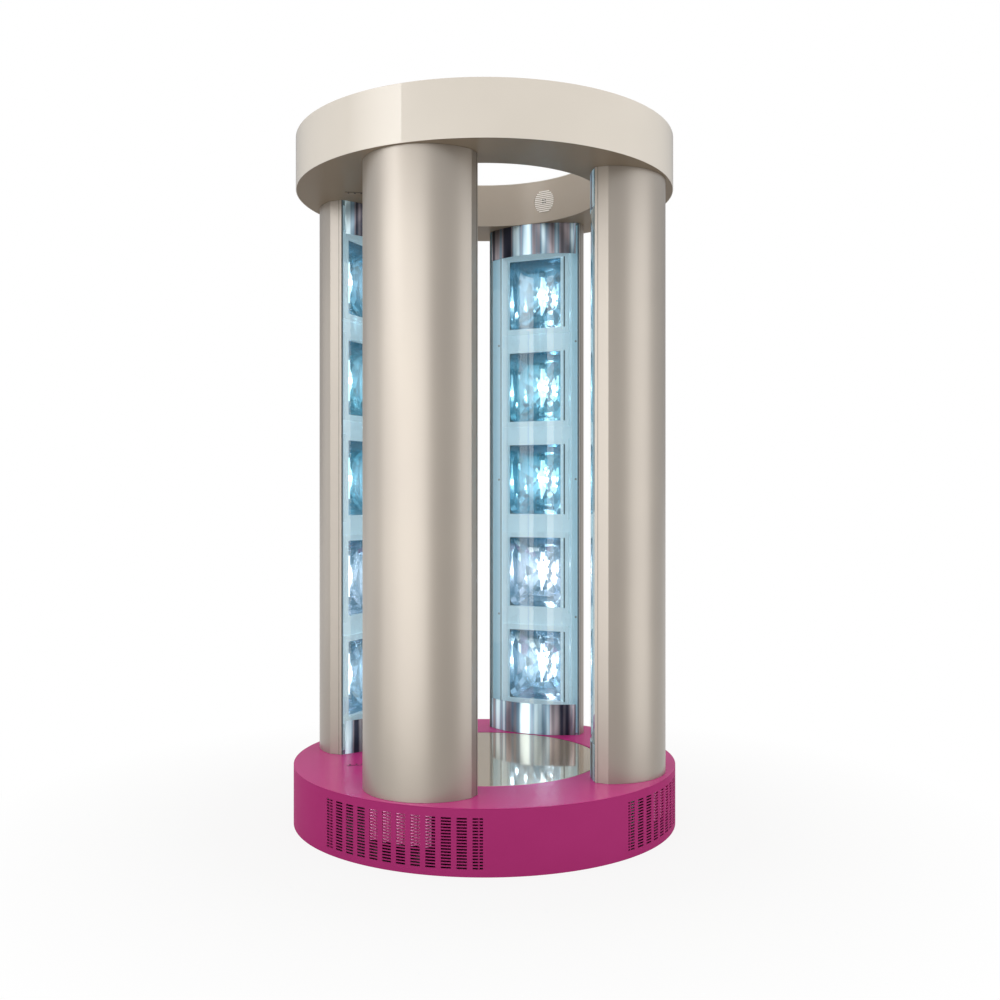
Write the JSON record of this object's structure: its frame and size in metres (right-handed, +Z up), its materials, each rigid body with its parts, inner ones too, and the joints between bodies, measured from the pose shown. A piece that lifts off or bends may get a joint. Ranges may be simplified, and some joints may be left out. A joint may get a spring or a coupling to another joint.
{
  "type": "vertical tanning booth",
  "caption": "Open walk-in tanning booth: round base drum with a turning standing platform, tall lamp columns with curved clear fronts and a ring canopy above.",
  "frame": {"origin": "middle of the base's underside, on the floor", "axes": "+Z up; -Y out of the entrance gap between the two front columns; +X to the right seen from the entrance"},
  "size_m": [1.314, 1.314, 2.327],
  "materials": {
    "magenta_paint": "gloss magenta",
    "champagne_paint": "satin metallic champagne",
    "cream_paint": "satin cream",
    "polished_steel": "polished stainless",
    "polished_aluminium": "mirror polished",
    "mirror_aluminium": "faceted mirror",
    "frame_paint": "satin pale blue",
    "clear_acrylic": "clear",
    "filter_glass": "clear blue filter",
    "lamp_quartz": "lit quartz",
    "zinc_steel": "zinc plated",
    "black_plastic": "moulded",
    "black_rubber": "matt"
  },
  "bodies": {
    "booth": {"base_pan": "zinc_steel", "base_skirt": "magenta_paint", "base_deck": "magenta_paint", "well_wall": "magenta_paint", "platform_bearing": "zinc_steel", "bearing_pedestal": "zinc_steel", "drive_motor": "zinc_steel", "control_box": "black_plastic", "ballast_bank_left": "zinc_steel", "ballast_bank_right": "zinc_steel", "canopy_soffit": "champagne_paint", "canopy_fascia": "cream_paint", "canopy_inner_wall": "champagne_paint", "canopy_lid": "cream_paint", "speaker_grille": "cream_paint", "speaker_driver": "black_plastic", "supply_gland": "black_plastic", "front_left_shell": "champagne_paint", "front_left_window": "clear_acrylic", "front_left_lower_band": "polished_aluminium", "front_left_upper_band": "polished_aluminium", "front_left_lamp_frame": "frame_paint", "front_left_filter_panes": "filter_glass", "front_left_reflector_bank": "mirror_aluminium", "front_left_lamp_bank": "lamp_quartz", "front_left_fan_frame": "black_plastic", "front_right_shell": "champagne_paint", "front_right_window": "clear_acrylic", "front_right_lower_band": "polished_aluminium", "front_right_upper_band": "polished_aluminium", "front_right_lamp_frame": "frame_paint", "front_right_filter_panes": "filter_glass", "front_right_reflector_bank": "mirror_aluminium", "front_right_lamp_bank": "lamp_quartz", "front_right_fan_frame": "black_plastic", "rear_right_shell": "champagne_paint", "rear_right_window": "clear_acrylic", "rear_right_lower_band": "polished_aluminium", "rear_right_upper_band": "polished_aluminium", "rear_right_lamp_frame": "frame_paint", "rear_right_filter_panes": "filter_glass", "rear_right_reflector_bank": "mirror_aluminium", "rear_right_lamp_bank": "lamp_quartz", "rear_right_fan_frame": "black_plastic", "rear_left_shell": "champagne_paint", "rear_left_window": "clear_acrylic", "rear_left_lower_band": "polished_aluminium", "rear_left_upper_band": "polished_aluminium", "rear_left_lamp_frame": "frame_paint", "rear_left_filter_panes": "filter_glass", "rear_left_reflector_bank": "mirror_aluminium", "rear_left_lamp_bank": "lamp_quartz", "rear_left_fan_frame": "black_plastic"},
    "platform": {"platform_disc": "polished_steel", "platform_hub": "zinc_steel"},
    "drive": {"drive_roller": "black_rubber"},
    "front_left_fan": {"front_left_fan_rotor": "black_plastic"},
    "front_right_fan": {"front_right_fan_rotor": "black_plastic"},
    "rear_right_fan": {"rear_right_fan_rotor": "black_plastic"},
    "rear_left_fan": {"rear_left_fan_rotor": "black_plastic"}
  },
  "joints": [
    {"name": "platform_turn", "type": "hinge", "parent": "booth", "child": "platform", "pos_m": [0, 0, 0.199], "axis": [0, 0, 1], "continuous": true},
    {"name": "drive_turn", "type": "hinge", "parent": "booth", "child": "drive", "pos_m": [0, -0.36459, 0.181], "axis": [0, 0, 1], "continuous": true},
    {"name": "front_left_fan_spin", "type": "hinge", "parent": "booth", "child": "front_left_fan", "pos_m": [-0.43044, -0.43044, 0.09065], "axis": [-0.7071, -0.7071, 0], "continuous": true},
    {"name": "front_right_fan_spin", "type": "hinge", "parent": "booth", "child": "front_right_fan", "pos_m": [0.43044, -0.43044, 0.09065], "axis": [0.7071, -0.7071, 0], "continuous": true},
    {"name": "rear_right_fan_spin", "type": "hinge", "parent": "booth", "child": "rear_right_fan", "pos_m": [0.43044, 0.43044, 0.09065], "axis": [0.7071, 0.7071, 0], "continuous": true},
    {"name": "rear_left_fan_spin", "type": "hinge", "parent": "booth", "child": "rear_left_fan", "pos_m": [-0.43044, 0.43044, 0.09065], "axis": [-0.7071, 0.7071, 0], "continuous": true}
  ],
  "couplings": [
    {"joint": "drive_turn", "follows": "platform_turn", "ratio": 13.2}
  ]
}
